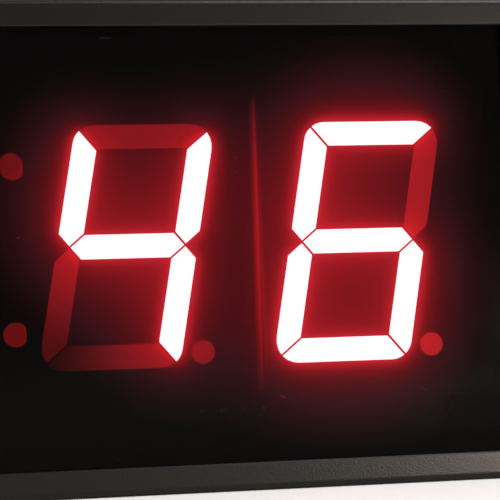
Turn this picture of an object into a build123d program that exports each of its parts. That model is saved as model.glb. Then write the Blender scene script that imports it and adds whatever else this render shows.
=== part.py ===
from build123d import *
from math import asin, cos, pi, radians, sin, sqrt, tan
import os

# Two-digit red LED display unit in a moulded case, in millimetres.
# +X is to the right of the display, +Y runs from its front to its back, and +Z is up.
# The origin is on the surface that the case stands on, under the middle of the case.

# Case
case_width = 145.0
case_height = 114.6
case_depth = 34.0
case_corner_radius = 5.0
front_edge_radius = 1.8
rear_edge_chamfer = 1.5
wall = 2.2
bezel_depth = 12.0
lap_length = 2.0
lap_thickness = 1.0
lap_clearance = 0.1
seam_chamfer = 0.25

# Window
opening_width = 132.0
opening_height = 101.6
lip_thickness = 2.0
lip_edge_chamfer = 0.3
window_thickness = 3.0
window_overlap = 2.0
window_clearance = 0.1

# Digit modules
digit_height = 57.0
digit_width = 32.76
upright_stroke = 5.7
bar_stroke = 5.65
blunt_corner_radius = 4.0
sharp_corner_radius = 6.4
corner_chords = 3
cavity_spacing = 0.5
slant = tan(radians(10))
digit_pitch = 54.7
module_width = 47.6
module_height = 69.7
module_depth = 12.0
module_wall = 1.2
module_skin = 1.4
well_wall = 1.1
module_gap = 0.6
cavity_depth = 8.5
cavity_draft = 4.0
point_radius = 2.75
point_place = (16.95, -25.2)
digit_board_thickness = 1.0
potting_recess = 0.3
pin_size = 0.5
pin_pitch = 2.54
pin_row_distance = 60.96
pins_in_row = 5
die_size = 0.7
die_height = 0.3
die_spacing = 9.0

# Colon
colon_offset = 26.5
colon_half_height = 19.8
led_radius = 2.5
led_flange_radius = 2.9
led_flange_height = 1.0
led_height = 8.6
lead_size = 0.5
lead_pitch = 2.54

# Main board
board_width = 122.0
board_height = 92.0
board_thickness = 1.6
board_screw_place = (56.0, 41.0)
pin_tail = 2.0

# Screws and inserts
screw_radius = 1.25
screw_clearance_radius = 1.7
screw_head_radius = 2.8
screw_head_height = 1.8
board_screw_head_width = 5.5
recess_length = 3.0
recess_width = 0.7
recess_depth = 1.1
board_screw_length = 8.0
board_post_radius = 3.5
board_pilot_depth = 8.0
case_screw_length = 14.0
case_screw_grip = 5.5
case_pilot_depth = 5.8
case_screw_place = (66.5, 51.3)
boss_radius = 3.6
boss_web_thickness = 1.6
boss_web_depth = 4.5
well_radius = 4.0
well_bore_radius = 3.1
insert_spacing = 75.0
insert_width = 5.5
insert_bore_radius = 1.65
insert_length = 6.0
insert_boss_radius = 4.6
insert_boss_length = 7.3

# Vents in the back
vent_width = 2.4
vent_length = 18.0
vent_pitch = 6.0
upper_vent_height = 35.0
lower_vent_height = -35.0
upper_vent_count = 11
lower_vent_places = [-30.0, -24.0, -18.0, 18.0, 24.0, 30.0]

# Parts on the back of the main board
chip_size = (10.3, 7.5)
chip_height = 2.4
chip_standoff = 0.1
chip_draft = 7.0
chip_lead_width = 0.4
chip_lead_thickness = 0.25
chip_lead_pitch = 1.27
chip_leads_per_side = 8
chip_lead_span = 5.15
chip_lead_slope = 0.6
resistor_size = (1.6, 3.2)
resistor_height = 0.6
resistors_per_digit = 8
resistor_row_height = -2.0
driver_row_height = 10.0
controller_place = (2.6, -14.0)
crystal_place = (2.6, -23.0)
crystal_size = (11.4, 4.6)
crystal_height = 3.6
crystal_chamfer = 0.5
capacitor_place = (2.6, 20.0)
capacitor_radius = 4.0
capacitor_height = 11.5
capacitor_lead_pitch = 3.5
regulator_place = (-32.0, -20.0)
regulator_size = (6.6, 6.1)
regulator_height = 2.3
regulator_tab_size = (5.3, 7.4)
regulator_tab_thickness = 0.5
regulator_lead_width = 0.8
regulator_lead_offset = 2.3
terminal_place = (0.0, -38.0)
terminal_size = (20.8, 9.0)
terminal_height = 14.6
terminal_ways = 4
terminal_pitch = 5.08
terminal_entry_size = 2.6
terminal_entry_depth = 8.0
terminal_entry_drop = 1.6
terminal_clamp_length = 1.5
terminal_pin_size = 0.9
terminal_slot_size = (2.6, 1.4)
terminal_slot_depth = 5.0
terminal_slot_rise = 2.2
terminal_clearance = 0.4
terminal_edge_chamfer = 0.3

# Depths behind the bezel's front face
window_front = lip_thickness
window_back = window_front + window_thickness
module_front = window_back + module_gap
module_back = module_front + module_depth
digit_board_front = module_front + cavity_depth
potting_front = digit_board_front + digit_board_thickness
board_back = module_back + board_thickness
rear_wall_front = case_depth - wall
led_base = module_front + led_height

# Places across the front, from the middle of the window
group_left = -colon_offset - led_radius
group_right = digit_pitch + module_width / 2
left_digit_x = -(group_left + group_right) / 2
right_digit_x = left_digit_x + digit_pitch
colon_x = left_digit_x - colon_offset

os.makedirs("parts", exist_ok=True)


def facing(depth, x=0.0, height=0.0):
    """Plane that faces the viewer, at a depth behind the bezel and a place from the window's middle."""
    return Plane(
        origin=(x, depth - case_depth / 2, case_height / 2 + height),
        x_dir=(1, 0, 0),
        z_dir=(0, -1, 0),
    )


def corners(place):
    """The four mirrored places of one place on a centred rectangle."""
    x, y = place
    return [(x, y), (-x, y), (-x, -y), (x, -y)]


def save(part, name):
    """Label a finished piece and write its file."""
    part.label = name
    export_step(part, f"parts/{name}.step")


# Seven-segment outline. It is drawn upright about the digit's middle, then slanted.
half_width = digit_width / 2
half_height = digit_height / 2
mitre = cavity_spacing / 2 * sqrt(2)
inner_side = half_width - upright_stroke
stroke_middle = half_width - upright_stroke / 2
inner_top = half_height - bar_stroke


def slanted(point, flip):
    """A point of an upright outline, flipped and then leaned over to the right."""
    u, v = point[0] * flip[0], point[1] * flip[1]
    return (u + slant * v, v)


def rounded_corner(side, radius):
    """The top left corner's arc from its mitre on, on the bar's side (1) or the upright's (-1).

    It is drawn as short chords, which leave an arc of this size by a few hundredths of a millimetre.
    """
    half_turn = asin(mitre / sqrt(2) / radius)
    start, end = (3 * pi / 4 - half_turn, pi / 2) if side > 0 else (3 * pi / 4 + half_turn, pi)
    angles = [start + (end - start) * i / corner_chords for i in range(corner_chords + 1)]
    return [
        (-half_width + radius * (1 + cos(turn)), half_height - radius * (1 - sin(turn)))
        for turn in angles
    ]


def bar_outline():
    """Top bar: two rounded corners and two mitred ends. The right one is the sharper once it leans."""
    left = rounded_corner(1, blunt_corner_radius)
    right = [(-u, v) for u, v in reversed(rounded_corner(1, sharp_corner_radius))]
    return left + right + [(inner_side - mitre, inner_top), (mitre - inner_side, inner_top)]


def upright_outline(radius):
    """Upper left upright: a rounded and mitred top, and a point at the digit's middle height."""
    foot = [
        (-half_width, mitre + upright_stroke / 2),
        (-stroke_middle, mitre),
        (-inner_side, mitre + bar_stroke / 2),
        (-inner_side, inner_top - mitre),
    ]
    return rounded_corner(-1, radius) + foot


def middle_outline():
    """Middle bar: a long hexagon."""
    tip = stroke_middle - mitre
    shoulder = inner_side - mitre
    half = bar_stroke / 2
    return [(-tip, 0), (-shoulder, half), (shoulder, half), (tip, 0), (shoulder, -half), (-shoulder, -half)]


# Each segment is one of three outlines, flipped left to right, upside down or both.
SEGMENTS = {
    "a": (bar_outline(), (1, 1)),
    "b": (upright_outline(sharp_corner_radius), (-1, 1)),
    "c": (upright_outline(blunt_corner_radius), (-1, -1)),
    "d": (bar_outline(), (-1, -1)),
    "e": (upright_outline(sharp_corner_radius), (1, -1)),
    "f": (upright_outline(blunt_corner_radius), (1, 1)),
    "g": (middle_outline(), (1, 1)),
}


def die_places(letter):
    """The two places of a segment's LED dice, on the segment's middle line."""
    half = die_spacing / 2
    upright_height = (inner_top + bar_stroke / 2) / 2
    bar_height = half_height - bar_stroke / 2
    middle_of = {
        "a": (0.0, bar_height),
        "b": (stroke_middle, upright_height),
        "c": (stroke_middle, -upright_height),
        "d": (0.0, -bar_height),
        "e": (-stroke_middle, -upright_height),
        "f": (-stroke_middle, upright_height),
        "g": (0.0, 0.0),
    }
    u, v = middle_of[letter]
    along = (half, 0.0) if letter in "adg" else (0.0, half)
    return [slanted((u + side * along[0], v + side * along[1]), (1, 1)) for side in (1, -1)]


def well(letter, x):
    """The room in one segment's well: its outline, with side walls that draw in towards the back."""
    outline, flip = SEGMENTS[letter]
    front = facing(module_front, x)
    with BuildPart() as room:
        with BuildSketch(front):
            Polygon(*[slanted(p, flip) for p in outline], align=None)
        extrude(amount=-cavity_depth)
        ends = room.faces().filter_by(Axis.Y)
        draft([face for face in room.faces() if face not in ends], front, -cavity_draft)
    return room.part


def slanted_box(half_side, low, high, mode):
    """Box with slanted sides, centred on the digit's slanted middle line, in the current sketch."""
    box = [(-half_side, low), (half_side, low), (half_side, high), (-half_side, high)]
    Polygon(*[slanted(p, (1, 1)) for p in box], align=None, mode=mode)


def pin_places():
    """The digit's pins, in a row along its top and a row along its bottom."""
    half_rows = pin_row_distance / 2
    first = -(pins_in_row - 1) / 2 * pin_pitch
    return [(first + i * pin_pitch, row) for row in (half_rows, -half_rows) for i in range(pins_in_row)]


all_dice = [place for letter in SEGMENTS for place in die_places(letter)] + [point_place]


def build_digit(side, x):
    """One digit module: reflector housing, lenses, dice, digit board, potting and pins."""
    front = facing(module_front, x)
    die_plane = facing(digit_board_front, x)
    inner_width = module_width - 2 * module_wall
    inner_height = module_height - 2 * module_wall
    wells = {letter: well(letter, x) for letter in SEGMENTS}

    # The housing is a box open to the back, with thin-walled reflector wells behind its face.
    with BuildPart() as housing:
        with BuildSketch(front):
            Rectangle(module_width, module_height)
        extrude(amount=-module_depth)
        with BuildSketch(facing(module_front + module_skin, x)):
            Rectangle(inner_width, inner_height)
            outer_top = half_height + well_wall
            opening_side = inner_side - well_wall
            opening_foot = bar_stroke / 2 + well_wall
            opening_top = inner_top - well_wall
            slanted_box(half_width + well_wall, -outer_top, outer_top, Mode.SUBTRACT)
            slanted_box(opening_side, opening_foot, opening_top, Mode.ADD)
            slanted_box(opening_side, -opening_top, -opening_foot, Mode.ADD)
            with Locations((point_place[0] - well_wall, point_place[1])):
                point_wall = 2 * (point_radius + well_wall)
                Rectangle(point_wall + 2 * well_wall, point_wall, mode=Mode.SUBTRACT)
        extrude(amount=module_skin - cavity_depth, mode=Mode.SUBTRACT)
        with BuildSketch(die_plane):
            Rectangle(inner_width, inner_height)
        extrude(amount=cavity_depth - module_depth, mode=Mode.SUBTRACT)
        for letter in SEGMENTS:
            add(wells[letter], mode=Mode.SUBTRACT)
        with BuildSketch(front):
            with Locations(point_place):
                Circle(point_radius)
        extrude(amount=-cavity_depth, mode=Mode.SUBTRACT)
    save(housing.part, f"{side}_digit_housing")

    # Each lens is epoxy cast into its well, flush with the face, round its LED dice.
    for letter in SEGMENTS:
        with BuildPart() as segment:
            add(wells[letter])
            with BuildSketch(die_plane):
                with Locations(*die_places(letter)):
                    Rectangle(die_size, die_size)
            extrude(amount=die_height, mode=Mode.SUBTRACT)
        save(segment.part, f"{side}_segment_{letter}")

    with BuildPart() as point:
        with BuildSketch(front):
            with Locations(point_place):
                Circle(point_radius)
        extrude(amount=-cavity_depth)
        with BuildSketch(die_plane):
            with Locations(point_place):
                Rectangle(die_size, die_size)
        extrude(amount=die_height, mode=Mode.SUBTRACT)
    save(point.part, f"{side}_decimal_point")

    with BuildPart() as dice:
        with BuildSketch(die_plane):
            with Locations(*all_dice):
                Rectangle(die_size, die_size)
        extrude(amount=die_height)
    save(dice.part, f"{side}_led_dice")

    with BuildPart() as digit_board:
        with BuildSketch(die_plane):
            Rectangle(inner_width, inner_height)
        extrude(amount=-digit_board_thickness)
    save(digit_board.part, f"{side}_digit_board")

    with BuildPart() as potting:
        with BuildSketch(facing(potting_front, x)):
            Rectangle(inner_width, inner_height)
            with Locations(*pin_places()):
                Rectangle(pin_size, pin_size, mode=Mode.SUBTRACT)
        extrude(amount=potting_front - module_back + potting_recess)
    save(potting.part, f"{side}_digit_potting")

    with BuildPart() as pins:
        with BuildSketch(facing(potting_front, x)):
            with Locations(*pin_places()):
                Rectangle(pin_size, pin_size)
        extrude(amount=potting_front - board_back - pin_tail)
    save(pins.part, f"{side}_digit_pins")


def place_of(place, depth):
    """Point at a depth behind the bezel and a place from the window's middle."""
    return (place[0], depth - case_depth / 2, case_height / 2 + place[1])


def side_plane(place, depth):
    """Plane that faces +X, with its first direction to the back and its second up."""
    return Plane(origin=place_of(place, depth), x_dir=(0, 1, 0), z_dir=(1, 0, 0))


def octagon(radius, mode=Mode.ADD):
    """Eight-sided boss or cored hole round a circle of this radius, with level and upright flats."""
    RegularPolygon(radius, 8, major_radius=False, rotation=360 / 8 / 2, mode=mode)


# Front bezel: a shallow moulded frame. The window drops in from behind, and the corner bosses trap it.
lap_inset = wall - lap_thickness - lap_clearance
with BuildPart() as front_bezel:
    with BuildSketch(facing(0)):
        RectangleRounded(case_width, case_height, case_corner_radius)
    extrude(amount=-bezel_depth)
    fillet(front_bezel.faces().sort_by(Axis.Y)[0].edges(), radius=front_edge_radius)
    with BuildSketch(facing(0)):
        Rectangle(opening_width, opening_height)
    extrude(amount=-window_back, mode=Mode.SUBTRACT)
    opening_edges = front_bezel.faces().sort_by(Axis.Y)[0].inner_wires()[0].edges()
    chamfer(opening_edges, length=lip_edge_chamfer)
    with BuildSketch(facing(window_front)):
        pocket_margin = 2 * (window_overlap + window_clearance)
        Rectangle(opening_width + pocket_margin, opening_height + pocket_margin)
    extrude(amount=-window_thickness, mode=Mode.SUBTRACT)
    with BuildSketch(facing(window_back)):
        RectangleRounded(case_width - 2 * wall, case_height - 2 * wall, case_corner_radius - wall)
    extrude(amount=window_back - bezel_depth, mode=Mode.SUBTRACT)
    with BuildSketch(facing(bezel_depth)):
        RectangleRounded(
            case_width - 2 * lap_inset,
            case_height - 2 * lap_inset,
            case_corner_radius - lap_inset,
        )
    extrude(amount=lap_length + lap_clearance, mode=Mode.SUBTRACT)
    chamfer(front_bezel.faces().sort_by(Axis.Y)[-1].outer_wire().edges(), length=seam_chamfer)
    with BuildSketch(facing(window_back)):
        with Locations(*corners(case_screw_place)):
            octagon(boss_radius)
    extrude(amount=window_back - bezel_depth)
    across = case_width / 2 - wall / 2 - case_screw_place[0]
    up = case_height / 2 - wall / 2 - case_screw_place[1]
    with BuildSketch(facing(window_back)):
        with Locations(*corners((case_screw_place[0] + across / 2, case_screw_place[1]))):
            Rectangle(across, boss_web_thickness)
        with Locations(*corners((case_screw_place[0], case_screw_place[1] + up / 2))):
            Rectangle(boss_web_thickness, up)
    extrude(amount=-boss_web_depth)
    with BuildSketch(facing(bezel_depth)):
        with Locations(*corners(case_screw_place)):
            octagon(screw_radius)
    extrude(amount=case_pilot_depth, mode=Mode.SUBTRACT)
save(front_bezel.part, "front_bezel")

# Filter window: one sheet of smoked red acrylic
with BuildPart() as filter_window:
    with BuildSketch(facing(window_front)):
        Rectangle(opening_width + 2 * window_overlap, opening_height + 2 * window_overlap)
    extrude(amount=-window_thickness)
save(filter_window.part, "filter_window")

# Rear housing: a deep tray with a tongue that fits inside the bezel's skirt
terminal_opening = (terminal_size[0] + 2 * terminal_clearance, terminal_size[1] + 2 * terminal_clearance)
upper_vent_places = [(i - (upper_vent_count - 1) / 2) * vent_pitch for i in range(upper_vent_count)]
case_screw_seat = bezel_depth - case_screw_grip + case_screw_length
insert_places = corners((insert_spacing / 2, insert_spacing / 2))
with BuildPart() as rear_housing:
    with BuildSketch(facing(bezel_depth)):
        RectangleRounded(case_width, case_height, case_corner_radius)
    extrude(amount=bezel_depth - case_depth)
    chamfer(rear_housing.faces().sort_by(Axis.Y)[-1].edges(), length=rear_edge_chamfer)
    chamfer(rear_housing.faces().sort_by(Axis.Y)[0].edges(), length=seam_chamfer)
    with BuildSketch(facing(bezel_depth)):
        RectangleRounded(case_width - 2 * wall, case_height - 2 * wall, case_corner_radius - wall)
    extrude(amount=bezel_depth - rear_wall_front, mode=Mode.SUBTRACT)
    with BuildSketch(facing(bezel_depth)):
        tongue_inset = wall - lap_thickness
        RectangleRounded(
            case_width - 2 * tongue_inset,
            case_height - 2 * tongue_inset,
            case_corner_radius - tongue_inset,
        )
        RectangleRounded(
            case_width - 2 * wall,
            case_height - 2 * wall,
            case_corner_radius - wall,
            mode=Mode.SUBTRACT,
        )
    extrude(amount=lap_length)
    with BuildSketch(facing(bezel_depth)):
        with Locations(*corners(case_screw_place)):
            octagon(well_radius)
    extrude(amount=bezel_depth - rear_wall_front)
    with BuildSketch(facing(board_back)):
        with Locations(*corners(board_screw_place)):
            octagon(board_post_radius)
    extrude(amount=board_back - rear_wall_front)
    with BuildSketch(facing(rear_wall_front)):
        with Locations(*insert_places):
            octagon(insert_boss_radius)
    extrude(amount=insert_boss_length)
    with BuildSketch(facing(bezel_depth)):
        with Locations(*corners(case_screw_place)):
            octagon(screw_clearance_radius)
    extrude(amount=bezel_depth - case_depth, mode=Mode.SUBTRACT)
    with BuildSketch(facing(case_screw_seat)):
        with Locations(*corners(case_screw_place)):
            Circle(well_bore_radius)
    extrude(amount=case_screw_seat - case_depth, mode=Mode.SUBTRACT)
    with BuildSketch(facing(board_back)):
        with Locations(*corners(board_screw_place)):
            octagon(screw_radius)
    extrude(amount=-board_pilot_depth, mode=Mode.SUBTRACT)
    with BuildSketch(facing(case_depth)):
        with Locations(*insert_places):
            RegularPolygon(insert_width / 2, 6, major_radius=False)
    extrude(amount=insert_length, mode=Mode.SUBTRACT)
    with BuildSketch(facing(rear_wall_front)):
        with Locations(*[(x, upper_vent_height) for x in upper_vent_places]):
            Rectangle(vent_width, vent_length)
        with Locations(*[(x, lower_vent_height) for x in lower_vent_places]):
            Rectangle(vent_width, vent_length)
        with Locations(terminal_place):
            Rectangle(*terminal_opening)
    extrude(amount=-wall, mode=Mode.SUBTRACT)
save(rear_housing.part, "rear_housing")

# Case screws: pan heads with a cross recess, at the bottom of the wells in the back
with BuildPart() as case_screws:
    with BuildSketch(facing(case_screw_seat)):
        with Locations(*corners(case_screw_place)):
            Circle(screw_head_radius)
    extrude(amount=-screw_head_height)
    with BuildSketch(facing(case_screw_seat)):
        with Locations(*corners(case_screw_place)):
            Circle(screw_radius)
    extrude(amount=case_screw_length)
    with BuildSketch(facing(case_screw_seat + screw_head_height)):
        with Locations(*corners(case_screw_place)):
            Rectangle(recess_length, recess_width)
            Rectangle(recess_width, recess_length)
    extrude(amount=recess_depth, mode=Mode.SUBTRACT)
save(case_screws.part, "case_screws")

# Hexagonal brass inserts with an M4 bore, pressed into the back
with BuildPart() as mounting_inserts:
    with BuildSketch(facing(case_depth)):
        with Locations(*insert_places):
            RegularPolygon(insert_width / 2, 6, major_radius=False)
            Circle(insert_bore_radius, mode=Mode.SUBTRACT)
    extrude(amount=insert_length)
save(mounting_inserts.part, "mounting_inserts")

build_digit("left", left_digit_x)
build_digit("right", right_digit_x)

# Colon: two round flat-topped LEDs on spacers, each with a flat on its flange beside the digit module
colon_places = [(colon_x, colon_half_height), (colon_x, -colon_half_height)]
for side, place in zip(("upper", "lower"), colon_places):
    with BuildPart() as colon_led:
        with BuildSketch(facing(led_base, *place)):
            Circle(led_flange_radius)
            with Locations((led_radius + led_flange_radius / 2, 0)):
                Rectangle(led_flange_radius, 2 * led_flange_radius, mode=Mode.SUBTRACT)
        extrude(amount=led_flange_height)
        with BuildSketch(facing(led_base, *place)):
            Circle(led_radius)
        extrude(amount=led_height)
    save(colon_led.part, f"{side}_colon_led")

lead_places = [(x, y + side * lead_pitch / 2) for x, y in colon_places for side in (1, -1)]
with BuildPart() as colon_led_leads:
    with BuildSketch(facing(led_base)):
        with Locations(*lead_places):
            Rectangle(lead_size, lead_size)
    extrude(amount=led_base - board_back - pin_tail)
save(colon_led_leads.part, "colon_led_leads")

with BuildPart() as colon_led_spacers:
    with BuildSketch(facing(led_base)):
        with Locations(*colon_places):
            octagon(led_radius)
        with Locations(*lead_places):
            Rectangle(lead_size, lead_size, mode=Mode.SUBTRACT)
    extrude(amount=led_base - module_back)
save(colon_led_spacers.part, "colon_led_spacers")

# Main board, with the digits in front and the chips behind. Each hole is filled by its soldered lead.
digit_pins = [(x + px, py) for x in (left_digit_x, right_digit_x) for px, py in pin_places()]
lead_offset = capacitor_lead_pitch / 2
capacitor_leads = [(capacitor_place[0], capacitor_place[1] + side * lead_offset) for side in (1, -1)]
terminal_xs = [(i - (terminal_ways - 1) / 2) * terminal_pitch for i in range(terminal_ways)]
terminal_entries = [(x, terminal_place[1] - terminal_entry_drop) for x in terminal_xs]
terminal_slots = [(x, terminal_place[1] + terminal_slot_rise) for x in terminal_xs]
with BuildPart() as main_board:
    with BuildSketch(facing(module_back)):
        Rectangle(board_width, board_height)
        with Locations(*corners(board_screw_place)):
            octagon(screw_clearance_radius, Mode.SUBTRACT)
        with Locations(*digit_pins, *lead_places, *capacitor_leads):
            Rectangle(pin_size, pin_size, mode=Mode.SUBTRACT)
        with Locations(*terminal_entries):
            Rectangle(terminal_pin_size, terminal_pin_size, mode=Mode.SUBTRACT)
    extrude(amount=-board_thickness)
save(main_board.part, "main_board")

# Board screws: hexagon heads on the front of the board
with BuildPart() as board_screws:
    with BuildSketch(facing(module_back)):
        with Locations(*corners(board_screw_place)):
            RegularPolygon(board_screw_head_width / 2, 6, major_radius=False)
    extrude(amount=screw_head_height)
    with BuildSketch(facing(module_back)):
        with Locations(*corners(board_screw_place)):
            Circle(screw_radius)
    extrude(amount=-board_screw_length)
save(board_screws.part, "board_screws")

# Chips, each a moulded body with drafted sides
chip_places = {
    "left_driver_chip": (left_digit_x, driver_row_height),
    "right_driver_chip": (right_digit_x, driver_row_height),
    "controller_chip": controller_place,
}
chip_middle = board_back + chip_standoff + chip_height / 2
for name, place in chip_places.items():
    with BuildPart() as chip:
        for side in (1, -1):
            with BuildSketch(facing(chip_middle, *place)):
                Rectangle(*chip_size)
            extrude(amount=side * chip_height / 2, taper=chip_draft)
    save(chip.part, name)

# Gull-wing leads: each one slopes from its body down to the board and runs outwards along it
lead_rise = chip_standoff + chip_height / 2
half_lead = chip_lead_thickness / 2
lead_root = chip_size[1] / 2
lead_heel = lead_root + chip_lead_slope
lead_outline = [
    (lead_rise + half_lead, lead_root),
    (chip_lead_thickness, lead_heel + half_lead),
    (chip_lead_thickness, chip_lead_span),
    (0, chip_lead_span),
    (0, lead_heel),
    (lead_rise - half_lead, lead_root),
]
with BuildPart() as chip_leads:
    for x, height in chip_places.values():
        for i in range(chip_leads_per_side):
            lead_x = x + (i - (chip_leads_per_side - 1) / 2) * chip_lead_pitch - chip_lead_width / 2
            for side in (1, -1):
                with BuildSketch(side_plane((lead_x, height), board_back)):
                    with BuildLine():
                        Polyline(*[(back, side * out) for back, out in lead_outline], close=True)
                    make_face()
    extrude(amount=chip_lead_width)
save(chip_leads.part, "chip_leads")

resistor_places = [
    (x + (i - (resistors_per_digit - 1) / 2) * pin_pitch, resistor_row_height)
    for x in (left_digit_x, right_digit_x)
    for i in range(resistors_per_digit)
]
with BuildPart() as segment_resistors:
    with BuildSketch(facing(board_back)):
        with Locations(*resistor_places):
            Rectangle(*resistor_size)
    extrude(amount=-resistor_height)
save(segment_resistors.part, "segment_resistors")

with BuildPart() as crystal:
    with BuildSketch(facing(board_back, *crystal_place)):
        Rectangle(*crystal_size)
    extrude(amount=-crystal_height)
    chamfer(crystal.edges().filter_by(Axis.Y), length=crystal_size[1] / 4)
    chamfer(crystal.faces().sort_by(Axis.Y)[-1].edges(), length=crystal_chamfer)
save(crystal.part, "crystal")

# Smoothing capacitor: an upright can
with BuildPart() as smoothing_capacitor:
    with BuildSketch(facing(board_back, *capacitor_place)):
        Circle(capacitor_radius)
    extrude(amount=-capacitor_height)
save(smoothing_capacitor.part, "smoothing_capacitor")

with BuildPart() as capacitor_wires:
    with BuildSketch(facing(board_back)):
        with Locations(*capacitor_leads):
            Rectangle(pin_size, pin_size)
    extrude(amount=board_thickness + pin_tail / 2)
save(capacitor_wires.part, "capacitor_leads")

# Voltage regulator: a moulded body on a metal tab that carries its heat into the board
tab_back = board_back + regulator_tab_thickness
with BuildPart() as voltage_regulator:
    with BuildSketch(facing(tab_back, *regulator_place)):
        Rectangle(*regulator_size)
    extrude(amount=regulator_tab_thickness - regulator_height, taper=chip_draft)
save(voltage_regulator.part, "voltage_regulator")

with BuildPart() as regulator_tab:
    with BuildSketch(facing(board_back, *regulator_place)):
        with Locations((0, (regulator_tab_size[1] - regulator_size[1]) / 2)):
            Rectangle(*regulator_tab_size)
        lead_length = regulator_size[1] / 2
        lead_height = -regulator_size[1] / 2 - lead_length / 2
        with Locations((-regulator_lead_offset, lead_height), (regulator_lead_offset, lead_height)):
            Rectangle(regulator_lead_width, lead_length)
    extrude(amount=-regulator_tab_thickness)
save(regulator_tab.part, "regulator_tab")

# Terminal block: push-in wire entries that face the back, each with a release slot above it
terminal_back = board_back + terminal_height
clamp_front = terminal_back - terminal_entry_depth - terminal_clamp_length
with BuildPart() as terminal_block:
    with BuildSketch(facing(board_back, *terminal_place)):
        Rectangle(*terminal_size)
    extrude(amount=-terminal_height)
    chamfer(terminal_block.faces().sort_by(Axis.Y)[-1].edges(), length=terminal_edge_chamfer)
    with BuildSketch(facing(terminal_back)):
        with Locations(*terminal_entries):
            Rectangle(terminal_entry_size, terminal_entry_size)
    extrude(amount=terminal_back - clamp_front, mode=Mode.SUBTRACT)
    with BuildSketch(facing(terminal_back)):
        with Locations(*terminal_slots):
            Rectangle(*terminal_slot_size)
    extrude(amount=terminal_slot_depth, mode=Mode.SUBTRACT)
    with BuildSketch(facing(terminal_back)):
        with Locations(*terminal_entries):
            Rectangle(terminal_pin_size, terminal_pin_size)
    extrude(amount=terminal_height, mode=Mode.SUBTRACT)
save(terminal_block.part, "terminal_block")

with BuildPart() as terminal_clamps:
    with BuildSketch(facing(clamp_front)):
        with Locations(*terminal_entries):
            Rectangle(terminal_entry_size, terminal_entry_size)
    extrude(amount=-terminal_clamp_length)
    with BuildSketch(facing(clamp_front)):
        with Locations(*terminal_entries):
            Rectangle(terminal_pin_size, terminal_pin_size)
    extrude(amount=clamp_front - module_back + pin_tail / 2)
save(terminal_clamps.part, "terminal_clamps")
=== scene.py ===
import logging
import math
from collections.abc import Mapping
from dataclasses import dataclass, field
from enum import Enum

import bpy
import numpy as np
from mathutils import Matrix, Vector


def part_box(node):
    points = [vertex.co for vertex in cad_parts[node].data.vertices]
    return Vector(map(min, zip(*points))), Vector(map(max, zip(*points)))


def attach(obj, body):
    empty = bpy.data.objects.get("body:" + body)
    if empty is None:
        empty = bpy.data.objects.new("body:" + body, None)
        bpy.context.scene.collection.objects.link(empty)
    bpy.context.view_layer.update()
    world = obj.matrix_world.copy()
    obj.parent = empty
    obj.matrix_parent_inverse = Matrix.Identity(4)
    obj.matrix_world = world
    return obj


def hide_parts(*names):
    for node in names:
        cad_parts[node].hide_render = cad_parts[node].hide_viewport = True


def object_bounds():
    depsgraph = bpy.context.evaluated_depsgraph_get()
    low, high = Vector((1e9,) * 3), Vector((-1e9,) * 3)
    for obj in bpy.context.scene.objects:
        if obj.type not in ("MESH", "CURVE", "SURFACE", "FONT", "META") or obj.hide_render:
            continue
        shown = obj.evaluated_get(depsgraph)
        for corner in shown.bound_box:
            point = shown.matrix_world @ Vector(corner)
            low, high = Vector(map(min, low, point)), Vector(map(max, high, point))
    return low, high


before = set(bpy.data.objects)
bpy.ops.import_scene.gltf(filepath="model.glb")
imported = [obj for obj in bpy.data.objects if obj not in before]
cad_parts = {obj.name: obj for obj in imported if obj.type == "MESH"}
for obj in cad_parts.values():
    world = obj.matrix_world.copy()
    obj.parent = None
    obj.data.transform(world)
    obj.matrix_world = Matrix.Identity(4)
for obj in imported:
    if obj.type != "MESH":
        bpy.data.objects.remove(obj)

Tree = bpy.types.NodeTree
Node = bpy.types.Node
Feed = bpy.types.NodeSocket | bpy.types.Node
Inputs = Mapping[str | int, object]
Piece = bpy.types.Object
Faces = list[tuple[int, ...]]
Outlines = list[np.ndarray]

log = logging.getLogger("digital_display")
CAD_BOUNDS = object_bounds()
MM = 0.001
# How far the digits lean to the right for each metre up.
SLANT = math.tan(math.radians(10))
# The share of what lies behind one face of the smoked sheet that the face hides.
COVER = 0.7
# The share of the digits' light that comes through both of its faces.
WINDOW_PASS = (1 - COVER) ** 2


def linear(hex_colour: str) -> tuple[float, float, float, float]:
    """Turn an sRGB hex colour into the linear colour that a shader takes.

    Args:
        hex_colour: The colour as "#rrggbb".

    Returns:
        Linear red, green, blue and an alpha of 1.
    """
    parts = [int(hex_colour[i : i + 2], 16) / 255 for i in (1, 3, 5)]
    red, green, blue = [c / 12.92 if c <= 0.04045 else ((c + 0.055) / 1.055) ** 2.4 for c in parts]
    return red, green, blue, 1.0


def add_node(tree: Tree, kind: str, inputs: Inputs | None = None, **settings: object) -> Node:
    """Add one node, give it its settings, and fill or link its inputs.

    Args:
        tree: The node tree of a material or of the world.
        kind: The node's type, such as "ShaderNodeTexNoise".
        inputs: For each input, by name or number, a plain value, the socket that feeds it, or the
            node whose first output in use feeds it.
        **settings: Properties of the node itself.

    Returns:
        The new node.
    """
    node = tree.nodes.new(kind)
    for name, value in settings.items():
        setattr(node, name, value)
    for key, value in (inputs or {}).items():
        if isinstance(value, bpy.types.Node):
            value = next(output for output in value.outputs if output.enabled)
        if isinstance(value, bpy.types.NodeSocket):
            tree.links.new(value, node.inputs[key])
        else:
            node.inputs[key].default_value = value
    return node


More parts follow.
